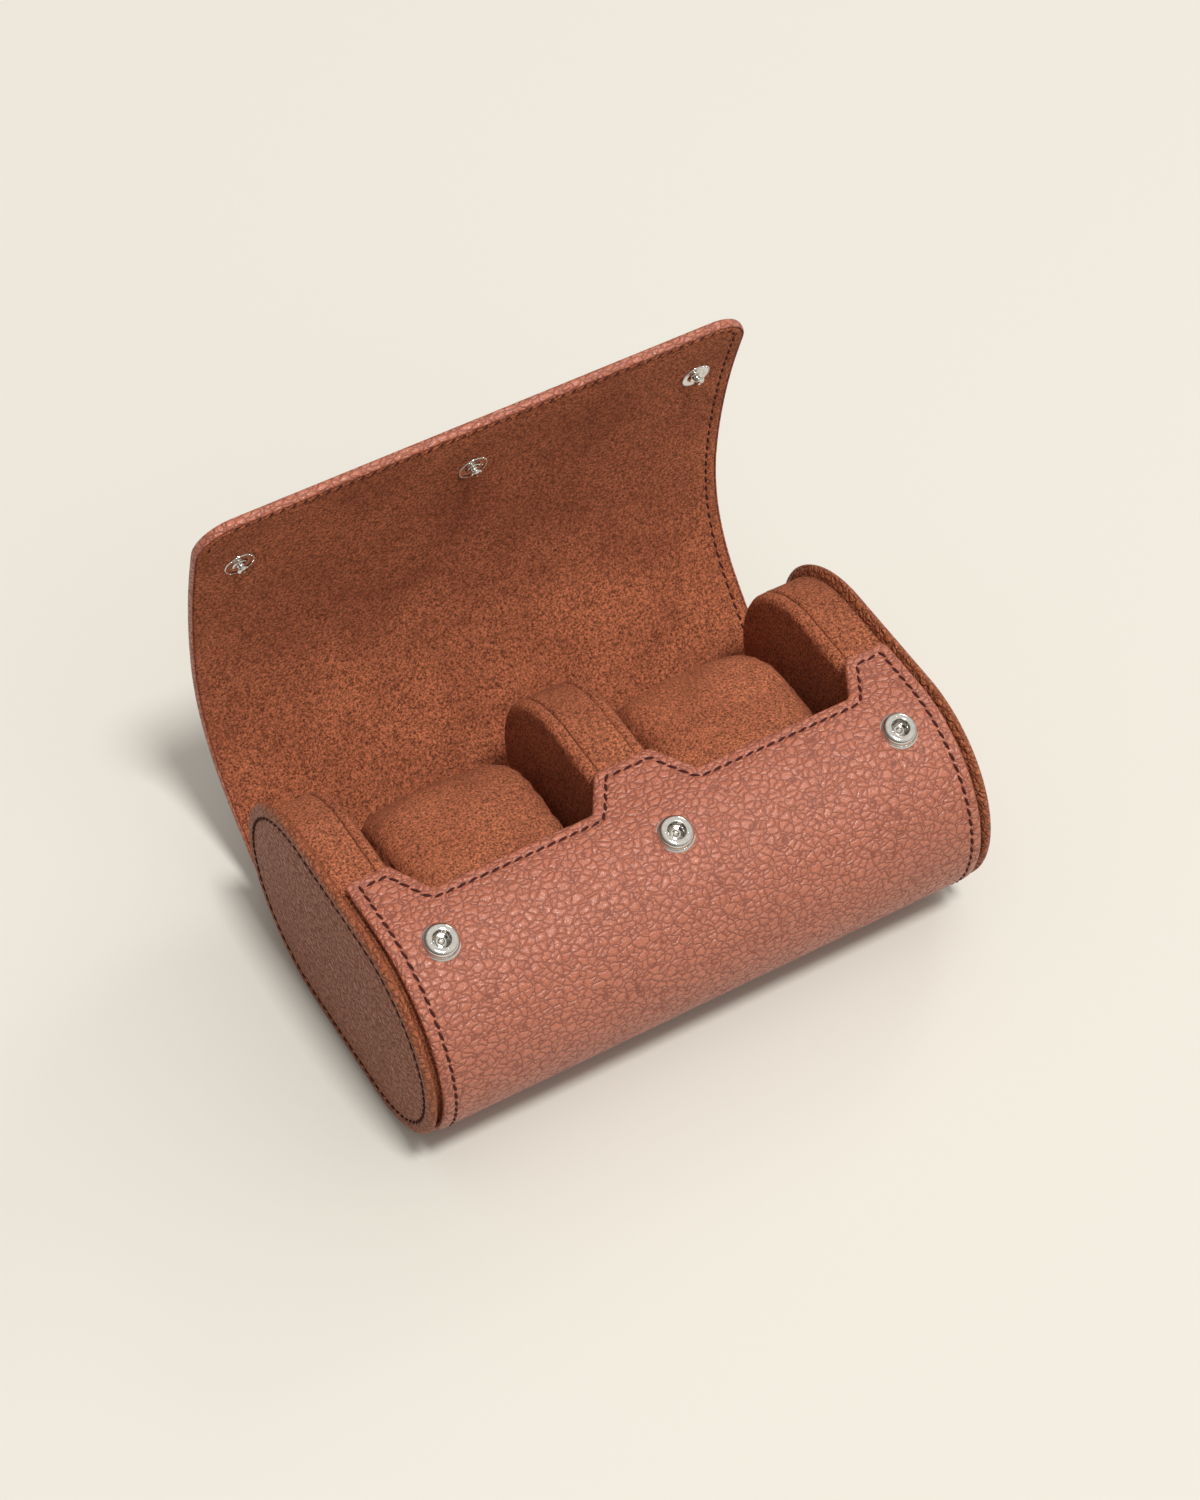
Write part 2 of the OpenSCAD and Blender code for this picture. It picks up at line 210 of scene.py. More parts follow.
def turned_edge(thick, steps=8):
    """Rows round a folded edge, from the inner face over the rim to the outer face at 0."""
    r = thick / 2
    return [(r - r * math.cos(a), r * math.sin(a) - r)
            for a in (math.pi * (j / steps - 0.5) for j in range(steps + 1))]


def slice_up(bm, axis, places):
    for place in places:
        normal = Vector((0, 0, 0))
        normal[axis] = 1
        bmesh.ops.bisect_plane(bm, geom=bm.verts[:] + bm.edges[:] + bm.faces[:], dist=1e-5,
                               plane_co=normal * place, plane_no=normal)


def spread(start, end, step):
    count = max(1, round((end - start) / step))
    return [start + (end - start) * i / count for i in range(count + 1)]


def round_the_oval(x, s, h):
    """Place on the body of a point s along the sheet from the back and h above its outer face."""
    arc = math.pi * case_r
    if s < 2 * core_c:
        return Vector((x, core_c - s, -h))
    if s > 2 * core_c + arc:
        return Vector((x, s - 3 * core_c - arc, 2 * case_r + h))
    a = (s - 2 * core_c) / case_r
    return Vector((x, -core_c - (case_r + h) * math.sin(a), case_r - (case_r + h) * math.cos(a)))


def finish_piece(bm, name, bend, materials):
    """Bends a flat piece into place, in metres, and keeps where each point lay on the flat sheet."""
    layer = bm.verts.layers.float_vector.new("flat")
    for v in bm.verts:
        v[layer] = v.co * MM
        if bend:
            v.co = bend(*v.co)
    bmesh.ops.scale(bm, vec=(MM, MM, MM), verts=bm.verts)
    for face in bm.faces:
        face.smooth = True
    mesh = bpy.data.meshes.new(name)
    bm.to_mesh(mesh)
    bm.free()
    for material in materials:
        mesh.materials.append(material)
    piece = bpy.data.objects.new(name, mesh)
    bpy.context.scene.collection.objects.link(piece)
    return piece


def socket(group, name, in_out, kind, value=None):
    made = group.interface.new_socket(name=name, in_out=in_out, socket_type=kind)
    if value is not None:
        made.default_value = value


# Pebbled grain: large soft pebbles parted by creases, smaller ones between, and fine pores
pebble_grain = bpy.data.node_groups.new("pebble_grain", "ShaderNodeTree")
socket(pebble_grain, "Place", "INPUT", "NodeSocketVector")
socket(pebble_grain, "Pebbles", "INPUT", "NodeSocketFloat", 400)
socket(pebble_grain, "Height", "OUTPUT", "NodeSocketFloat")
socket(pebble_grain, "Crease", "OUTPUT", "NodeSocketFloat")
socket(pebble_grain, "Shade", "OUTPUT", "NodeSocketFloat")
tree = pebble_grain
entry = node(tree, "NodeGroupInput")
leave = node(tree, "NodeGroupOutput")
wander = node(tree, "ShaderNodeTexNoise", Scale=380, Detail=3)
tree.links.new(entry.outputs["Place"], wander.inputs["Vector"])
centred = node(tree, "ShaderNodeVectorMath", operation="SUBTRACT")
centred.inputs[1].default_value = (0.5, 0.5, 0.5)
tree.links.new(wander.outputs["Color"], centred.inputs[0])
shifted = node(tree, "ShaderNodeVectorMath", operation="MULTIPLY_ADD")
shifted.inputs[1].default_value = (0.0024, 0.0024, 0.0024)
tree.links.new(centred.outputs[0], shifted.inputs[0])
tree.links.new(entry.outputs["Place"], shifted.inputs[2])
stretched = node(tree, "ShaderNodeVectorMath", operation="MULTIPLY")
stretched.inputs[1].default_value = (0.88, 1.15, 1.0)
tree.links.new(shifted.outputs[0], stretched.inputs[0])
heights, creases = [], []
for scale_by, width, share, line, depth in ((1.0, 0.30, 0.80, 0.12, 0.85), (2.0, 0.30, 0.16, 0.11, 0.30)):
    scaled = node(tree, "ShaderNodeMath", operation="MULTIPLY")
    scaled.inputs[1].default_value = scale_by
    tree.links.new(entry.outputs["Pebbles"], scaled.inputs[0])
    cells = node(tree, "ShaderNodeTexVoronoi", feature="DISTANCE_TO_EDGE")
    tree.links.new(stretched.outputs[0], cells.inputs["Vector"])
    tree.links.new(scaled.outputs[0], cells.inputs["Scale"])
    dome = node(tree, "ShaderNodeMapRange", interpolation_type="SMOOTHSTEP")
    dome.inputs["From Max"].default_value = width
    dome.inputs["To Max"].default_value = share
    tree.links.new(cells.outputs["Distance"], dome.inputs["Value"])
    heights.append(dome)
    # crease mask: it darkens the colour in the creases, partly the grain's own tone and partly painted shade,
    # and roughens them
    gap = node(tree, "ShaderNodeMapRange", interpolation_type="SMOOTHSTEP")
    gap.inputs["From Max"].default_value = line
    gap.inputs["To Min"].default_value = depth
    gap.inputs["To Max"].default_value = 0.0
    tree.links.new(cells.outputs["Distance"], gap.inputs["Value"])
    creases.append(gap)
pores = node(tree, "ShaderNodeTexNoise", Scale=2600, Detail=2)
tree.links.new(entry.outputs["Place"], pores.inputs["Vector"])
both = node(tree, "ShaderNodeMath", operation="ADD")
tree.links.new(heights[0].outputs[0], both.inputs[0])
tree.links.new(heights[1].outputs[0], both.inputs[1])
total = node(tree, "ShaderNodeMath", operation="MULTIPLY_ADD")
total.inputs[1].default_value = 0.12
tree.links.new(pores.outputs["Fac"], total.inputs[0])
tree.links.new(both.outputs[0], total.inputs[2])
tree.links.new(total.outputs[0], leave.inputs["Height"])
crease = node(tree, "ShaderNodeMath", operation="MAXIMUM")
tree.links.new(creases[0].outputs[0], crease.inputs[0])
tree.links.new(creases[1].outputs[0], crease.inputs[1])
tree.links.new(crease.outputs[0], leave.inputs["Crease"])
patches = node(tree, "ShaderNodeTexNoise", Scale=38, Detail=3)
tree.links.new(entry.outputs["Place"], patches.inputs["Vector"])
tree.links.new(patches.outputs["Fac"], leave.inputs["Shade"])


def leather_material(name, light, dark, pebbles, rough, depth, shine):
    """Semi-matte dyed leather: darker in its creases, partly its own tone and partly painted shade; a little
    uneven in tone and gloss.
    """
    material, tree, shader = new_material(name)
    place = node(tree, "ShaderNodeAttribute", attribute_name="flat")
    grain = node(tree, "ShaderNodeGroup", node_tree=pebble_grain)
    grain.inputs["Pebbles"].default_value = pebbles
    tree.links.new(place.outputs["Vector"], grain.inputs["Place"])
    tone = node(tree, "ShaderNodeMix", data_type="RGBA")
    tone.inputs[6].default_value = (*[c * 0.88 for c in light], 1)
    tone.inputs[7].default_value = (*[min(1, c * 1.10) for c in light], 1)
    tree.links.new(grain.outputs["Shade"], tone.inputs[0])
    # the dark colour in the creases is partly the grain's own tone and partly painted shade
    crease_tone_and_shade = node(tree, "ShaderNodeMix", data_type="RGBA")
    crease_tone_and_shade.inputs[7].default_value = (*dark, 1)
    tree.links.new(grain.outputs["Crease"], crease_tone_and_shade.inputs[0])
    tree.links.new(tone.outputs[2], crease_tone_and_shade.inputs[6])
    tree.links.new(crease_tone_and_shade.outputs[2], shader.inputs["Base Color"])
    gloss = node(tree, "ShaderNodeMapRange")
    gloss.inputs["To Min"].default_value = rough - 0.06
    gloss.inputs["To Max"].default_value = rough + 0.42
    tree.links.new(grain.outputs["Crease"], gloss.inputs["Value"])
    tree.links.new(gloss.outputs[0], shader.inputs["Roughness"])
    bump = node(tree, "ShaderNodeBump")
    bump.inputs["Distance"].default_value = depth
    bump.inputs["Strength"].default_value = 1.0
    tree.links.new(grain.outputs["Height"], bump.inputs["Height"])
    tree.links.new(bump.outputs[0], shader.inputs["Normal"])
    shader.inputs["Specular IOR Level"].default_value = shine
    return material


# its dark colour goes into the creases, partly as painted shade
pebbled_leather = leather_material("pebbled_leather", (0.455, 0.139, 0.078), (0.17, 0.037, 0.019),
                                   pebbles=450, rough=0.42, depth=0.00034, shine=0.75)

sewn_in = 3.3
body_rows = turned_edge(edge_t) + [(1.9, 0.1), (2.6, 0.06), (2.95, -0.12), (sewn_in, -0.26),
                                   (3.65, -0.12), (4.1, 0.02), (6.0, 0.0)]
bm = bmesh.new()
draw_up(bm, body_outline, body_rows)
slice_up(bm, 1, spread(2 * core_c, front_s, 1.2) + spread(back_s, 2 * core_c, 4)[1:-1])
slice_up(bm, 1, spread(front_s, top_s, 1.5)[1:-1])
slice_up(bm, 0, spread(-sheet_w / 2, sheet_w / 2, 4.0)[1:-1])
snap_gap = sheet_w / 2 - 13.2
snap_tilt = math.radians(18)
snap_s = 2 * core_c + case_r * (math.pi - snap_tilt)
seat_reach, seat_r, seat_depth = 3.3, 2.5, 1.2
slice_up(bm, 1, spread(snap_s - seat_reach, snap_s + seat_reach, 1.1))
for i in (-1, 0, 1):
    slice_up(bm, 0, spread(i * snap_gap - seat_reach, i * snap_gap + seat_reach, 1.1))
    for v in bm.verts:
        if v.co.z > -0.5 and math.hypot(v.co.x - i * snap_gap, v.co.y - snap_s) < seat_r:
            v.co.z -= seat_depth
body_leather = finish_piece(bm, "body_leather", round_the_oval, [pebbled_leather])
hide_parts("shell_leather", "shell_board")
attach(body_leather, "case")


# Lining of the body.
# Rust microsuede glued inside the sheet, a little short of its edges, with the nap brushed
# in soft patches and darker pits between the fibres, partly the nap's own tone and partly
# painted shade in its hollows.

suede_nap = bpy.data.node_groups.new("suede_nap", "ShaderNodeTree")
socket(suede_nap, "Place", "INPUT", "NodeSocketVector")
socket(suede_nap, "Height", "OUTPUT", "NodeSocketFloat")
socket(suede_nap, "Pits", "OUTPUT", "NodeSocketFloat")
socket(suede_nap, "Brushed", "OUTPUT", "NodeSocketFloat")
tree = suede_nap
entry = node(tree, "NodeGroupInput")
leave = node(tree, "NodeGroupOutput")
clumps = node(tree, "ShaderNodeTexNoise", Scale=1650, Detail=5, Roughness=0.75, Distortion=0.6)
fibres = node(tree, "ShaderNodeTexNoise", Scale=4200, Detail=2)
strokes = node(tree, "ShaderNodeTexNoise", Scale=42, Detail=3, Distortion=0.6)
for texture in (clumps, fibres, strokes):
    tree.links.new(entry.outputs["Place"], texture.inputs["Vector"])
# Pits: darker where the nap is low, partly its own tone and partly painted shade in its hollows
pits = node(tree, "ShaderNodeMapRange")
pits.inputs["From Min"].default_value = 0.59
pits.inputs["From Max"].default_value = 0.41
tree.links.new(clumps.outputs["Fac"], pits.inputs["Value"])
tree.links.new(pits.outputs[0], leave.inputs["Pits"])
tree.links.new(strokes.outputs["Fac"], leave.inputs["Brushed"])
nap = node(tree, "ShaderNodeMath", operation="MULTIPLY_ADD")
nap.inputs[1].default_value = 0.35
tree.links.new(fibres.outputs["Fac"], nap.inputs[0])
tree.links.new(clumps.outputs["Fac"], nap.inputs[2])
tree.links.new(nap.outputs[0], leave.inputs["Height"])


def suede_material(name, light, dark):
    """Brushed microsuede: lighter where the nap is brushed up, dark pits where the nap is low (partly its own
    tone, partly painted shade), and a dusty sheen.
    """
    material, tree, shader = new_material(name)
    place = node(tree, "ShaderNodeAttribute", attribute_name="flat")
    grain = node(tree, "ShaderNodeGroup", node_tree=suede_nap)
    tree.links.new(place.outputs["Vector"], grain.inputs["Place"])
    brushed = node(tree, "ShaderNodeMapRange")
    brushed.inputs["From Min"].default_value = 0.3
    brushed.inputs["From Max"].default_value = 0.7
    tree.links.new(grain.outputs["Brushed"], brushed.inputs["Value"])
    tone = node(tree, "ShaderNodeMix", data_type="RGBA")
    tone.inputs[6].default_value = (*[c * 0.72 for c in light], 1)
    tone.inputs[7].default_value = (*[min(1, c * 1.15) for c in light], 1)
    tree.links.new(brushed.outputs[0], tone.inputs[0])
    # the dark colour in the nap's hollows, partly painted shade
    pitted = node(tree, "ShaderNodeMix", data_type="RGBA")
    pitted.inputs[7].default_value = (*dark, 1)
    tree.links.new(grain.outputs["Pits"], pitted.inputs[0])
    tree.links.new(tone.outputs[2], pitted.inputs[6])
    tree.links.new(pitted.outputs[2], shader.inputs["Base Color"])
    bump = node(tree, "ShaderNodeBump")
    bump.inputs["Distance"].default_value = 0.0012
    tree.links.new(grain.outputs["Height"], bump.inputs["Height"])
    tree.links.new(bump.outputs[0], shader.inputs["Normal"])
    shader.inputs["Roughness"].default_value = 0.92
    shader.inputs["Specular IOR Level"].default_value = 0.12
    shader.inputs["Sheen Weight"].default_value = 0.12
    shader.inputs["Sheen Roughness"].default_value = 0.45
    shader.inputs["Sheen Tint"].default_value = (1.0, 0.62, 0.42, 1)
    return material


rust_suede = suede_material("rust_suede", (0.95, 0.275, 0.128), (0.14, 0.031, 0.014))

lining_inset = 0.75
lining_rows = [(1.5, -3.25), (1.1, -3.2), (0.85, -3.0), (lining_inset, -2.6), (lining_inset, -2.2)]
bm = bmesh.new()
draw_up(bm, body_outline, lining_rows)
slice_up(bm, 1, spread(2 * core_c, front_s, 1.6) + spread(back_s, 2 * core_c, 6)[1:-1])
slice_up(bm, 1, spread(front_s, top_s, 2)[1:-1])
slice_up(bm, 0, spread(-sheet_w / 2, sheet_w / 2, 8.0)[1:-1])
body_lining = finish_piece(bm, "body_lining", round_the_oval, [rust_suede])
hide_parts("shell_lining")
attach(body_lining, "case")

# Stitching of the body sheet.
# Dark plum thread in short slanting stitches, set into the groove that it pulls in the
# leather 3.3 mm from the edge, round the tabs and down both sides.

thread_material, tree, shader = new_material("plum_thread")
place = node(tree, "ShaderNodeAttribute", attribute_name="flat")
twist = node(tree, "ShaderNodeTexNoise", Scale=2400, Detail=1)
tree.links.new(place.outputs["Vector"], twist.inputs["Vector"])
tone = node(tree, "ShaderNodeMix", data_type="RGBA")
tone.inputs[6].default_value = (0.022, 0.005, 0.005, 1)
tone.inputs[7].default_value = (0.090, 0.022, 0.018, 1)
tree.links.new(twist.outputs["Fac"], tone.inputs[0])
tree.links.new(tone.outputs[2], shader.inputs["Base Color"])
bump = node(tree, "ShaderNodeBump")
bump.inputs["Distance"].default_value = 0.00012
tree.links.new(twist.outputs["Fac"], bump.inputs["Height"])
tree.links.new(bump.outputs[0], shader.inputs["Normal"])
shader.inputs["Roughness"].default_value = 0.8
shader.inputs["Specular IOR Level"].default_value = 0.15


def even_places(points, pitch):
    """Places every pitch along a line of points, each with the direction of the line there."""
    lengths = [(b - a).length for a, b in zip(points, points[1:])]
    count = max(1, round(sum(lengths) / pitch))
    step, done, i, places = sum(lengths) / count, 0.0, 0, []
    for k in range(count):
        at = (k + 0.5) * step
        while done + lengths[i] < at and i < len(lengths) - 1:
            done += lengths[i]
            i += 1
        way = (points[i + 1] - points[i]).normalized()
        places.append((points[i] + way * (at - done), way))
    return places


def stitch(bm, at, way, height, length=2.9, up=1, lean=12):
    """One stitch: a plump thread that dips into the leather at both ends."""
    made = bmesh.ops.create_uvsphere(bm, u_segments=8, v_segments=7, radius=1)["verts"]
    for v in made:
        x, y, z = v.co
        v.co = (z * length / 2, 0.42 * x, up * (0.32 * y + 0.16 * (1 - z * z) - 0.12))
    turned = Matrix.Rotation(math.atan2(way[1], way[0]) + math.radians(lean), 4, "Z")
    bmesh.ops.transform(bm, matrix=Matrix.Translation((at[0], at[1], height)) @ turned, verts=made)


stitch_pitch = 3.25
sunk_front, sunk_under = -0.08, -0.42
bm = bmesh.new()
for at, way in even_places(body_outline(sewn_in), stitch_pitch):
    stitch(bm, at, way, sunk_front if at[1] > 2 * core_c + 6 else sunk_under)
body_stitches = finish_piece(bm, "body_stitches", round_the_oval, [thread_material])
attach(body_stitches, "case")

# End caps.
# Stiff oval ends of the same leather with a finer grain: a rolled rim, a sewn line, and a
# field that swells a little over its padding. Each is glued over the end of the lining.

cap_x, cap_t, cap_r = sheet_w / 2 + 0.7, 3.1, case_r - 0.5


def oval(radius, steps=56, core=core_c):
    """Outline of an oval with this end radius, as a function of how far it is set in."""
    def outline(inset):
        r = radius - inset
        half = [Vector((core + r * math.sin(a), -r * math.cos(a)))
                for a in (math.pi * i / steps for i in range(steps + 1))]
        return half + [-p for p in half]
    return outline


def stand_at(x_face, side):
    """Stands a flat piece up across the roll, its outer face looking to the end on that side."""
    def bend(y, z, h):
        return Vector((side * (x_face + h), side * y, case_r + z))
    return bend


# the caps' leather is coloured darker than the body's as painted shade, for ends the lamp barely reaches;
# their creases are darker too, partly as painted shade
cap_leather = leather_material("cap_leather", (0.39, 0.114, 0.046), (0.15, 0.036, 0.015),
                               pebbles=520, rough=0.45, depth=0.0007, shine=0.35)
cap_roll, cap_seam, cap_field = 1.7, 3.8, 5.2
cap_pitch, cap_stitch_l = 3.0, 2.5
cap_rows = [(2.8, 0.0), (1.7, 0.3), (0.7, 0.85), (0.0, cap_t - cap_roll)]
cap_rows += [(cap_roll * (1 - math.cos(a)), cap_t - cap_roll * (1 - math.sin(a)))
             for a in (math.pi / 2 * i / 7 for i in range(1, 8))]
cap_rows += [(cap_seam + away, cap_t + height) for away, height in
             ((-1.5, 0.02), (-0.9, -0.03), (-0.45, -0.16), (0, -0.32), (0.3, -0.26), (0.8, -0.08))]
cap_rows += [(i, cap_t + 0.8 * (1 - ((cap_r - i) / (cap_r - cap_field)) ** 2))
             for i in (cap_field, 6.5, 8.5, 11, 14, 18, 22, 26, 30, 33)]
for side, name in ((-1, "left"), (1, "right")):
    bm = bmesh.new()
    draw_up(bm, oval(cap_r), cap_rows)
    cap = finish_piece(bm, "cap_" + name, stand_at(cap_x, side), [cap_leather])
    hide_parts("cap_leather_" + name, "cap_board_" + name)
    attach(cap, "case")
    bm = bmesh.new()
    line = oval(cap_r)(cap_seam)
    for at, way in even_places(line + line[:1], cap_pitch):
        stitch(bm, at, way, cap_t - 0.14, cap_stitch_l)
    cap_stitches = finish_piece(bm, "cap_stitches_" + name, stand_at(cap_x, side), [thread_material])
    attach(cap_stitches, "case")

# End blocks and divider.
# Foam blocks that fill the ends of the roll and part the two bays, covered in suede: a band
# round each and padded faces sewn on with a turned seam, which puckers the suede a little.

drum_r = 30.7
seam_x, block_x, mid_half = 70.8, 81.85, 5.6
pad_t, pad_crown, pad_edge = 3.4, 0.6, 2.6


def puckered(bend, centre_h, depth, reach, seed):
    """Adds the little gathers that a seam pulls in suede, fading out over its reach."""
    def gathered(y, z, h):
        near = math.exp(-((h - centre_h) / reach) ** 2)
        wave = noise.noise(Vector((y * 0.45, z * 0.45, seed))) + 0.5 * noise.noise(Vector((y, z, seed + 5)))
        away = Vector((y - max(-core_c, min(core_c, y)), z))
        if away.length:
            away.normalize()
        shift = away * wave * depth * near
        return bend(y + shift[0], z + shift[1], h)
    return gathered


def band_piece(name, node_names, x_start, way, length, seams):
    """Suede band round a block: a tube that turns in at its sewn ends."""
    turned = [(0.9, 0.0), (0.35, 0.08), (0.1, 0.35), (0.0, 0.9)]
    rows = [(2.5, 0.0)] + (turned if seams[0] else [(0.0, 0.0)])
    rows += [(0.0, h) for h in spread(1.2, length - 1.2, 1.2)]
    rows += [(inset, length - h) for inset, h in reversed(turned)] if seams[1] else [(0.0, length)]
    rows += [(2.5, length)]
    bm = bmesh.new()
    draw_up(bm, oval(drum_r, 72), rows)
    stand = stand_at(x_start * way, way)
    where = length if seams[1] else 0.0
    stand = puckered(stand, where, 0.28, 2.2, 3.0 + x_start)
    band = finish_piece(bm, name, stand, [rust_suede])
    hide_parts(*node_names)
    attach(band, "case")


def pad_piece(name, node_name, x_start, way):
    """Padded suede face: a soft rim rolls up from the seam to a low crown."""
    rows = [(2.0, 0.02), (0.95, 0.0), (0.4, 0.12), (0.1, 0.45), (0.0, pad_t - pad_edge)]
    rows += [(pad_edge * (1 - math.cos(a)), pad_t - pad_edge * (1 - math.sin(a)))
             for a in (math.pi / 2 * i / 8 for i in range(1, 9))]
    flat_r = drum_r - pad_edge
    rows += [(inset, pad_t + pad_crown * (1 - ((drum_r - inset) / flat_r) ** 2)) for inset in
             (3.4, 4.6, 6.2, 8.4, 11, 14, 18, 22, 26, 30.2)]
    bm = bmesh.new()
    draw_up(bm, oval(drum_r, 72), rows)
    stand = puckered(stand_at(x_start * way, way), 0.3, 0.3, 1.8, 8.0 + x_start)
    pad = finish_piece(bm, name, stand, [rust_suede])
    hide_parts(node_name)
    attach(pad, "case")


for side, name in ((-1, "left"), (1, "right")):
    band_piece("end_block_band_" + name, ["end_band_" + name, "end_core_" + name],
               side * (seam_x + 0.05), side, block_x - seam_x - 0.05, (True, False))
    pad_piece("end_block_pad_" + name, "end_pad_" + name, side * (seam_x - 0.05), -side)
    pad_piece("divider_pad_" + name, "mid_pad_" + name, side * (mid_half + 0.1), side)
band_piece("divider_band", ["mid_band", "mid_core"], -mid_half, 1, 2 * mid_half, (True, True))

# Cushions.
# Two loose foam pillows in suede, one in each bay, each a plump oval roll with a crowned
# panel sewn into both ends. Cloth pressure swells the cover a little.

cushion_w, cushion_r, cushion_core = 52.4, 27.0, 13.0
cushion_edge, cushion_crown, cushion_bulge = 7.0, 2.0, 1.2
cushion_z = case_r - drum_r - 0.05 + 0.3 + cushion_r
bay_in, bay_out = mid_half + 0.1 + pad_t + pad_crown, seam_x - 0.05 - pad_t - pad_crown
cushion_push = {-1: -1.2, 1: -0.7}


def cushion_rows(shrink):
    """Rows of an oval pillow from the middle of one end face over its side to the other."""
    half, r = cushion_w / 2 - shrink, cushion_r - shrink
    corner_r, corner_h = r - cushion_bulge - cushion_edge, half - cushion_edge - cushion_crown
    rows = [(r - x, half - cushion_crown * (x / corner_r) ** 2) for x in (0.5, 4, 8, 12, 15.5)]
    rows += [(r - corner_r - cushion_edge * math.sin(a), corner_h + cushion_edge * math.cos(a))
             for a in (math.pi / 2 * i / 7 for i in range(8))]
    rows += [(cushion_bulge * (h / corner_h) ** 2, h) for h in (13, 8, 3)]
    return [(inset + shrink, h) for inset, h in rows] + [(inset + shrink, -h) for inset, h in reversed(rows)]


def apply_modifiers(piece):
    """Bakes the modifiers of a piece into its mesh."""
    made = bpy.data.meshes.new_from_object(piece.evaluated_get(bpy.context.evaluated_depsgraph_get()))
    piece.modifiers.clear()
    piece.data = made


def swell(piece, pressure, cap, voxel, frames=20):
    """Fills a cover by cloth simulation, keeping each point within a cap of where it was."""
    remesh = piece.modifiers.new("remesh", "REMESH")
    remesh.mode = "VOXEL"
    remesh.voxel_size = voxel * MM
    apply_modifiers(piece)
    before = [v.co.copy() for v in piece.data.vertices]
    cloth = piece.modifiers.new("cloth", "CLOTH")
    cloth.settings.use_pressure = True
    cloth.settings.uniform_pressure_force = pressure
    cloth.settings.effector_weights.gravity = 0
    cloth.settings.bending_stiffness = 1.5
    cloth.point_cache.frame_end = frames
    for frame_number in range(1, frames + 1):
        bpy.context.scene.frame_set(frame_number)
    apply_modifiers(piece)
    for vert, start in zip(piece.data.vertices, before):
        moved = vert.co - start
        if moved.length > cap * MM:
            vert.co = start + moved.normalized() * cap * MM
    bpy.context.scene.frame_set(1)


def cushion_dents(piece, middle, seed):
    """Presses in the two sewn seams of a pillow and the small gathers beside them."""
    seam_h = cushion_w / 2 - 3.4
    piece.data.update()
    normals = [n.vector.copy() for n in piece.data.vertex_normals]
    for vert, normal in zip(piece.data.vertices, normals):
        at = vert.co / MM - middle
        off = (abs(at.x) - seam_h) / 0.55
        near = math.exp(-((abs(at.x) - seam_h) / 3.5) ** 2)
        gather = noise.noise(Vector((at.y * 0.33, at.z * 0.33, seed))) * 0.5 * near
        soft = noise.noise(at * 0.07 + Vector((seed, 0, 0))) * 0.5
        vert.co += normal * (gather + soft - 0.45 * math.exp(-off * off)) * MM


for side, name in ((-1, "left"), (1, "right")):
    middle = Vector((side * (bay_in + bay_out) / 2 + cushion_push[side], 0, cushion_z))
    bm = bmesh.new()
    draw_up(bm, oval(cushion_r, 40, cushion_core), cushion_rows(1.3))
    cushion = finish_piece(bm, "cushion_" + name, lambda y, z, h: Vector((h, y, z)) + middle, [rust_suede])
    swell(cushion, pressure=4.0, cap=1.2, voxel=3.0)
    for polygon in cushion.data.polygons:
        polygon.use_smooth = True
    smooth = cushion.modifiers.new("smooth", "SUBSURF")
    smooth.levels = smooth.render_levels = 2
    apply_modifiers(cushion)
    cushion_dents(cushion, middle, 2.0 + side)
    layers = cushion.data.attributes
    place = layers.get("flat") or layers.new("flat", "FLOAT_VECTOR", "POINT")
    for item, vert in zip(place.data, cushion.data.vertices):
        item.vector = vert.co
    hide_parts("cushion_cover_" + name, "cushion_core_" + name)
    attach(cushion, "cushion_" + name)

# Flap.
# The back of the body sheet goes on as one long supple flap of the same leather, lined with
# suede that is glued into its turned rim. It curls at twelve bends, and is sewn all round.

strip_l, flap_t = 14.4, 3.0
slopes = [0, 5, 33, 44, 50, 66, 82, 94, 99, 103, 107, 109]
strips = len(slopes)
flap_end = strips * strip_l
flap_corner = 11.0
hinges = [Vector((core_c, flap_t / 2))]
for slope in slopes:
    way = Vector((math.cos(math.radians(slope)), math.sin(math.radians(slope))))
    hinges.append(hinges[-1] + strip_l * way)
mids = [hinges[0] - Vector((strip_l / 2, 0))] + [(a + b) / 2 for a, b in zip(hinges, hinges[1:])]


def along_flap(x, s, h):
    """Place of a point s along the flap from its first bend and h above its middle layer."""
    k = min(strips, int((s + strip_l / 2) // strip_l))
    t = (s + strip_l / 2) / strip_l - k
    if k == strips:
        centre = mids[k] + (hinges[k] - mids[k]) * 2 * t
        way = hinges[k] - mids[k]
    else:
        a, b, c = mids[k], hinges[k], mids[k + 1]
        centre = (1 - t) ** 2 * a + 2 * t * (1 - t) * b + t * t * c
        way = (1 - t) * (b - a) + t * (c - b)
    way.normalize()
    return Vector((x, centre[0] - way[1] * h, centre[1] + way[0] * h))


def flap_outline(inset):
    """Outline of the flap laid flat; an inset is a pair, from the free end and from the sides."""
    end, side = inset
    w, r = sheet_w / 2 - side, max(1.5, flap_corner - max(inset))
    return rounded([(w, -strip_l / 2), (w, flap_end - end), (-w, flap_end - end), (-w, -strip_l / 2)],
                   [0, r, r, 0], 12)


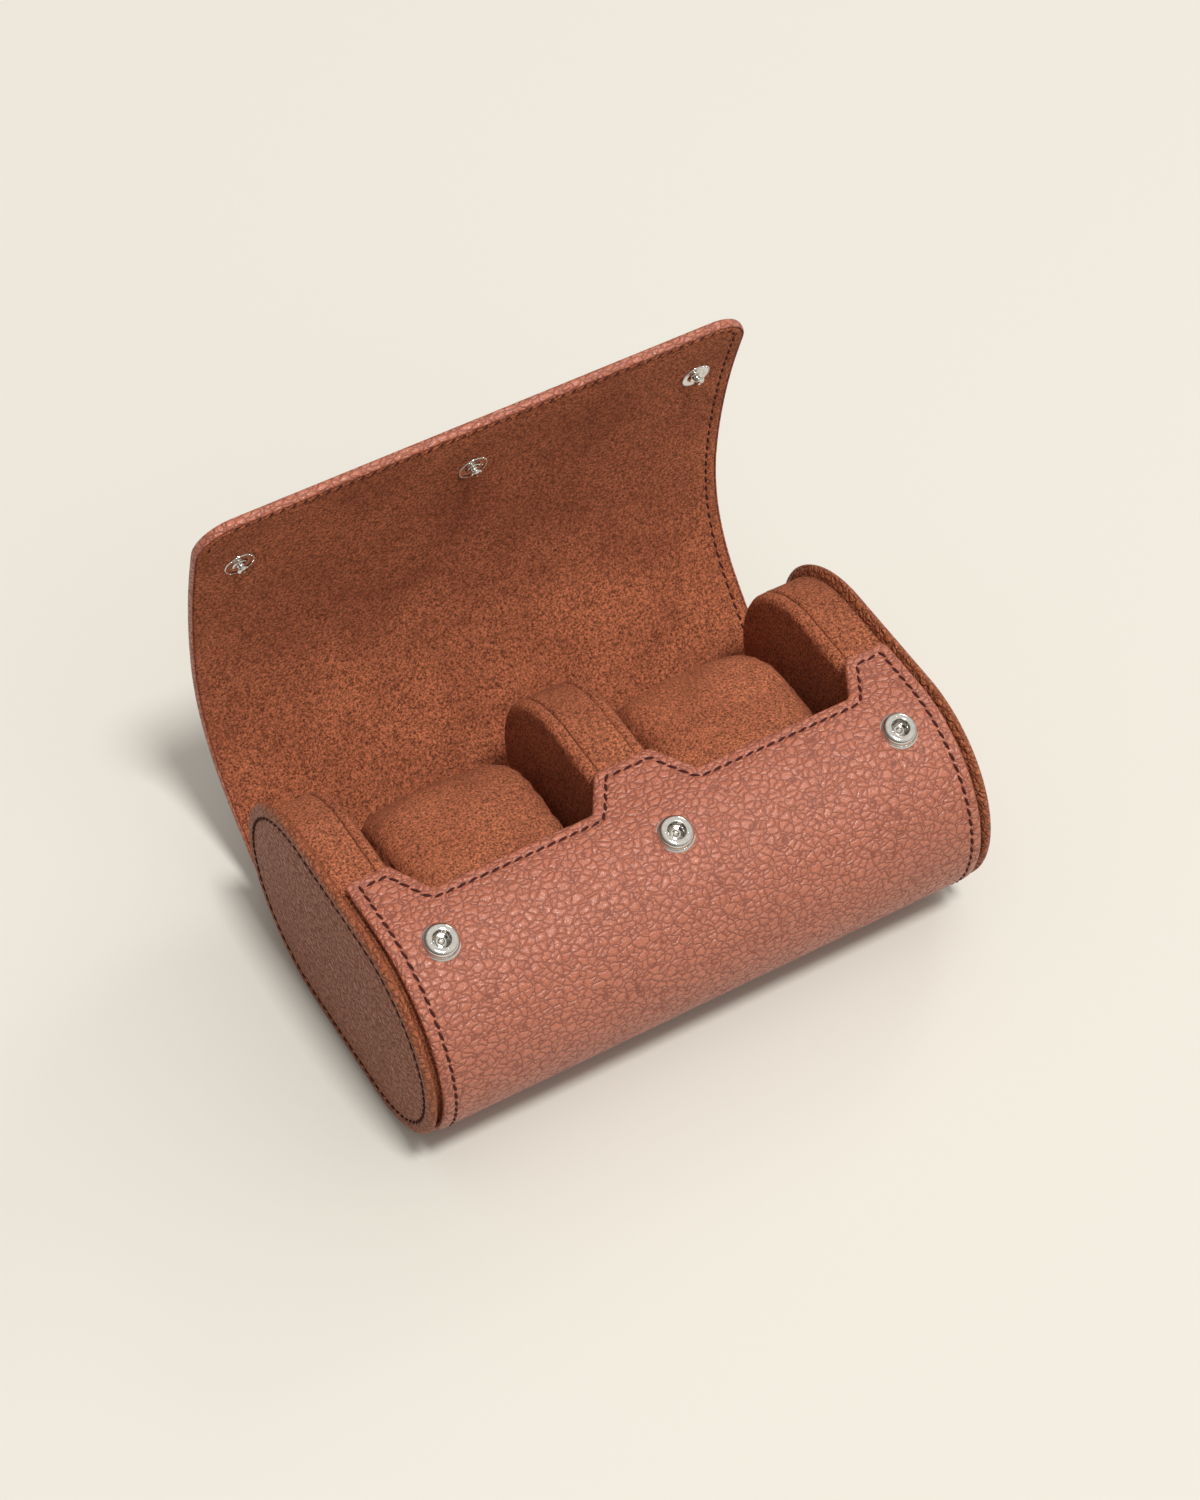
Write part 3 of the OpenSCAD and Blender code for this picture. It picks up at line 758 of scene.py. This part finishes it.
def flap_pieces(name, rows, material, rows_step):
    """Draws up one layer of the flap and parts it halfway between its bends."""
    made = []
    whole = bmesh.new()
    draw_up(whole, flap_outline, rows)
    slice_up(whole, 1, spread(-strip_l / 2, flap_end - flap_corner, rows_step)[1:-1])
    slice_up(whole, 0, spread(-sheet_w / 2, sheet_w / 2, 9.0)[1:-1])
    for k in range(strips):
        bm = whole.copy()
        for place, keep in ((strip_l * (k - 0.5), 1), (strip_l * (k + 0.5), -1)):
            if -strip_l / 2 < place < flap_end - strip_l:
                bmesh.ops.bisect_plane(bm, geom=bm.verts[:] + bm.edges[:] + bm.faces[:], dist=1e-5,
                                       plane_co=(0, place, 0), plane_no=(0, keep, 0), clear_inner=True)
                rim = [e for e in bm.edges if e.is_boundary]
                cut = bmesh.ops.edgeloop_fill(bm, edges=rim)["faces"]
                bmesh.ops.recalc_face_normals(bm, faces=bm.faces)
                for edge in {e for f in cut for e in f.edges}:
                    edge.smooth = False
        piece = finish_piece(bm, "%s_%d" % (name, k + 1), along_flap, [material])
        made.append(piece)
    whole.free()
    return made


def hang_on_flap(pieces):
    """Lets each piece of a layer turn with the two strips that its bend joins."""
    bodies = ["case"] + ["strip_%d" % (i + 1) for i in range(strips)]
    for k, piece in enumerate(pieces):
        start, end = [Vector((0, *mids[i])) * MM for i in (k, k + 1)]
        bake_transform(piece, bodies[k], bodies[k + 1], start=start, end=end)


outer = -flap_t / 2
flap_rim = [((1.3, 0.75), -0.1), ((1.25, 0.7), 0.9), ((1.05, 0.5), 1.22), ((0.7, 0.3), 1.3),
            ((0.3, 0.1), 1.0), ((0.06, 0.02), 0.5)]
flap_rim += [((inset, inset), height) for inset, height in
             ((0, 0.0), (0.06, -0.6), (0.3, -1.08), (0.7, -1.38), (1.2, outer), (1.9, outer - 0.04),
              (2.6, outer), (2.95, outer + 0.14), (sewn_in, outer + 0.26), (3.65, outer + 0.14),
              (4.1, outer), (6, outer))]
leather_parts = flap_pieces("flap_hide", flap_rim, pebbled_leather, 1.2)
for i, piece in enumerate(leather_parts):
    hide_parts("flap_leather_%d" % (i + 1))
hang_on_flap(leather_parts)

flap_bed = [((2.2, 1.8), -0.05), ((1.32, 0.78), -0.05), ((1.28, 0.74), 0.7), ((1.45, 0.9), 1.2),
            ((1.75, 1.4), 1.46), ((2.1, 2.4), 1.52), ((2.4, 3.1), 1.46), ((2.7, 3.45), 1.34),
            ((2.9, 3.7), 1.26), ((3.2, 3.95), 1.34), ((3.6, 4.3), 1.45), ((6, 6), 1.52)]
lining_parts = flap_pieces("flap_suede", flap_bed, rust_suede, 1.6)
for i, piece in enumerate(lining_parts):
    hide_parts("flap_lining_%d" % (i + 1))
hang_on_flap(lining_parts)

stitch_parts = []
seams = (((sewn_in, sewn_in), outer, -1), ((2.0, 3.7), 1.36, 1))
places = [(at, way, height, up) for inset, height, up in seams
          for at, way in even_places(flap_outline(inset)[:-1], stitch_pitch)]
for k in range(strips):
    bm = bmesh.new()
    for at, way, height, up in places:
        if k == min(strips - 1, int(at[1] / strip_l + 0.5)):
            sunk = 0.44 if up < 0 and at[1] < 2 * strip_l else 0.1
            stitch(bm, at, way, height - up * sunk, up=up)
    stitch_parts.append(finish_piece(bm, "flap_stitches_%d" % (k + 1), along_flap, [thread_material]))
hang_on_flap(stitch_parts)

# Ring snaps.
# Three nickel sockets on the front, domed rings with a beaded rim and a wire spring behind
# their hole, and three studs on the lining of the flap. Posts rivet each through the leather.

nickel, tree, shader = new_material("polished_nickel")
place = node(tree, "ShaderNodeTexCoord")
wear_and_painted_reflection = node(tree, "ShaderNodeTexNoise", Scale=900, Detail=3)
tree.links.new(place.outputs["Object"], wear_and_painted_reflection.inputs["Vector"])
polish = node(tree, "ShaderNodeMapRange")
polish.inputs["From Min"].default_value = 0.4
polish.inputs["From Max"].default_value = 0.75
polish.inputs["To Min"].default_value = 0.06
polish.inputs["To Max"].default_value = 0.18
tree.links.new(wear_and_painted_reflection.outputs["Fac"], polish.inputs["Value"])
tree.links.new(polish.outputs[0], shader.inputs["Roughness"])
# the darker blotches in the nickel's colour are painted reflection, standing for dark surroundings the metal
# would mirror; the same noise varies the polish
tone = node(tree, "ShaderNodeMix", data_type="RGBA")
tone.inputs[6].default_value = (0.86, 0.84, 0.80, 1)
tone.inputs[7].default_value = (0.50, 0.48, 0.45, 1)
tree.links.new(wear_and_painted_reflection.outputs["Fac"], tone.inputs[0])
tree.links.new(tone.outputs[2], shader.inputs["Base Color"])
bump = node(tree, "ShaderNodeBump")
bump.inputs["Distance"].default_value = 0.00003
tree.links.new(wear_and_painted_reflection.outputs["Fac"], bump.inputs["Height"])
tree.links.new(bump.outputs[0], shader.inputs["Normal"])
shader.inputs["Metallic"].default_value = 1.0

base_r = case_r - 0.8
socket_r, socket_h, hole_r = 5.3, 2.95, 2.4
stud_r, stud_h = 4.35, 3.05


def turned_part(bm, profile, steps=64):
    """A part turned on a lathe: a closed profile of radius and height, spun round."""
    rings = [[bm.verts.new((r * math.cos(a), r * math.sin(a), z)) for a in
              (2 * math.pi * i / steps for i in range(steps))] if r > 1e-6 else [bm.verts.new((0, 0, z))]
             for r, z in profile]
    for low, high in zip(rings, rings[1:] + rings[:1]):
        if len(low) == len(high) == 1:
            continue
        for i in range(steps):
            j = (i + 1) % steps
            corners = [low[i % len(low)], low[j % len(low)], high[j % len(high)], high[i % len(high)]]
            bm.faces.new(list(dict.fromkeys(corners)))


def beads(bm, radius, height, size, count):
    """A ring of small round beads pressed into the metal."""
    for i in range(count):
        a = 2 * math.pi * i / count
        bmesh.ops.create_icosphere(bm, subdivisions=1, radius=size, matrix=Matrix.Translation(
            (radius * math.cos(a), radius * math.sin(a), height)))


def arc_profile(centre, radius, start, end, steps):
    """Points of a lathe profile along an arc, from one angle in degrees to another."""
    angles = [math.radians(start + (end - start) * i / steps) for i in range(steps + 1)]
    return [(centre[0] + radius * math.cos(a), centre[1] + radius * math.sin(a)) for a in angles]


def socket_frame(i):
    return Matrix.Translation((i * snap_gap, -core_c, case_r)) @ Matrix.Rotation(snap_tilt, 4, "X")


def stud_frame(i):
    k = strips - 2
    at = (hinges[k] + hinges[k + 1]) / 2
    return Matrix.Translation((i * snap_gap, at[0], at[1])) @ Matrix.Rotation(math.radians(slopes[k]), 4, "X")


socket_profile = [(hole_r, 0.3), (0.0, 0.3), (0.0, 0.02), (socket_r - 0.4, 0.02)]
socket_profile += arc_profile((socket_r - 0.36, 0.36), 0.34, -90, 80, 6)
socket_profile += [(socket_r - 0.62, 0.78)] + arc_profile((socket_r - 1.05, 1.02), 0.34, 10, 70, 3)
socket_profile += arc_profile((3.28, socket_h - 1.42), 1.42, 12, 92, 12)
socket_profile += arc_profile((hole_r + 0.28, socket_h - 0.3), 0.26, 95, 180, 4)
socket_profile += [(hole_r + 0.02, 2.05), (hole_r + 0.5, 2.0), (hole_r + 0.55, 1.5), (hole_r, 1.42)]
eyelet = [(0.55, 0.3), (0.55, 0.7)] + arc_profile((1.2, 0.55), 0.52, 150, -10, 8) + [(1.72, 0.3)]
rivet_post = [(0.0, -1.6), (4.5, -1.6), (4.5, -1.25), (1.5, -1.2), (1.5, 0.0), (0.0, 0.0)]
wire_half, wire_r = 2.2, 0.26
for i, name in ((-1, "left"), (0, "middle"), (1, "right")):
    bm = bmesh.new()
    turned_part(bm, socket_profile)
    beads(bm, socket_r - 0.70, 0.80, 0.20, 72)
    beads(bm, 3.02, socket_h - 0.04, 0.085, 48)
    for way in (-1, 1):
        along = [-wire_half + 2 * wire_half * j / 16 for j in range(17)]
        wire = [Vector((way * (1.95 + 0.75 * (t / wire_half) ** 2), t, 1.75)) for t in along]
        for a, b in zip(wire, wire[1:]):
            length = (b - a).length * 1.08
            turn_to = (b - a).to_track_quat("Z", "Y").to_matrix().to_4x4()
            bmesh.ops.create_cone(bm, cap_ends=True, segments=10, radius1=wire_r, radius2=wire_r,
                                  depth=length, matrix=Matrix.Translation((a + b) / 2) @ turn_to)
    turned_part(bm, eyelet, 40)
    turned_part(bm, rivet_post, 40)
    bmesh.ops.recalc_face_normals(bm, faces=bm.faces)
    bmesh.ops.translate(bm, vec=(0, 0, base_r), verts=bm.verts)
    bmesh.ops.transform(bm, matrix=socket_frame(i), verts=bm.verts)
    socket_piece = finish_piece(bm, "socket_" + name, None, [nickel])
    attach(socket_piece, "case")
    if i == 0:
        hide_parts("snap_sockets", "socket_springs", "socket_posts")

head_r = 2.2
stud_profile = [(0.0, 0.02), (stud_r - 0.25, 0.02)]
stud_profile += arc_profile((stud_r - 0.22, 0.24), 0.22, -90, 90, 6)
stud_profile += [(3.5, 0.42), (3.2, 0.34), (2.5, 0.36), (2.05, 0.62)]
stud_profile += arc_profile((1.75, 0.62), 0.24, 10, 90, 4)
stud_profile += [(1.15, 0.8), (0.92, 1.05), (0.9, 1.85), (1.1, 1.98), (1.5, 2.0)]
stud_profile += arc_profile((1.42, 2.19), 0.18, -60, 60, 4)
stud_profile += arc_profile((0, stud_h - head_r), head_r, 48, 70, 5)
stud_profile += [(0.42, stud_h - 0.05), (0.28, stud_h - 0.3), (0.0, stud_h - 0.36)]
for i, name in ((-1, "left"), (0, "middle"), (1, "right")):
    bm = bmesh.new()
    turned_part(bm, stud_profile)
    beads(bm, stud_r - 0.28, 0.42, 0.17, 60)
    beads(bm, 2.62, 0.34, 0.10, 36)
    bmesh.ops.recalc_face_normals(bm, faces=bm.faces)
    bmesh.ops.translate(bm, vec=(0, 0, flap_t / 2), verts=bm.verts)
    bmesh.ops.transform(bm, matrix=stud_frame(i), verts=bm.verts)
    stud_piece = finish_piece(bm, "stud_" + name, None, [nickel])
    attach(stud_piece, "strip_%d" % (strips - 1))
    if i == 0:
        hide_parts("snap_studs", "stud_posts")
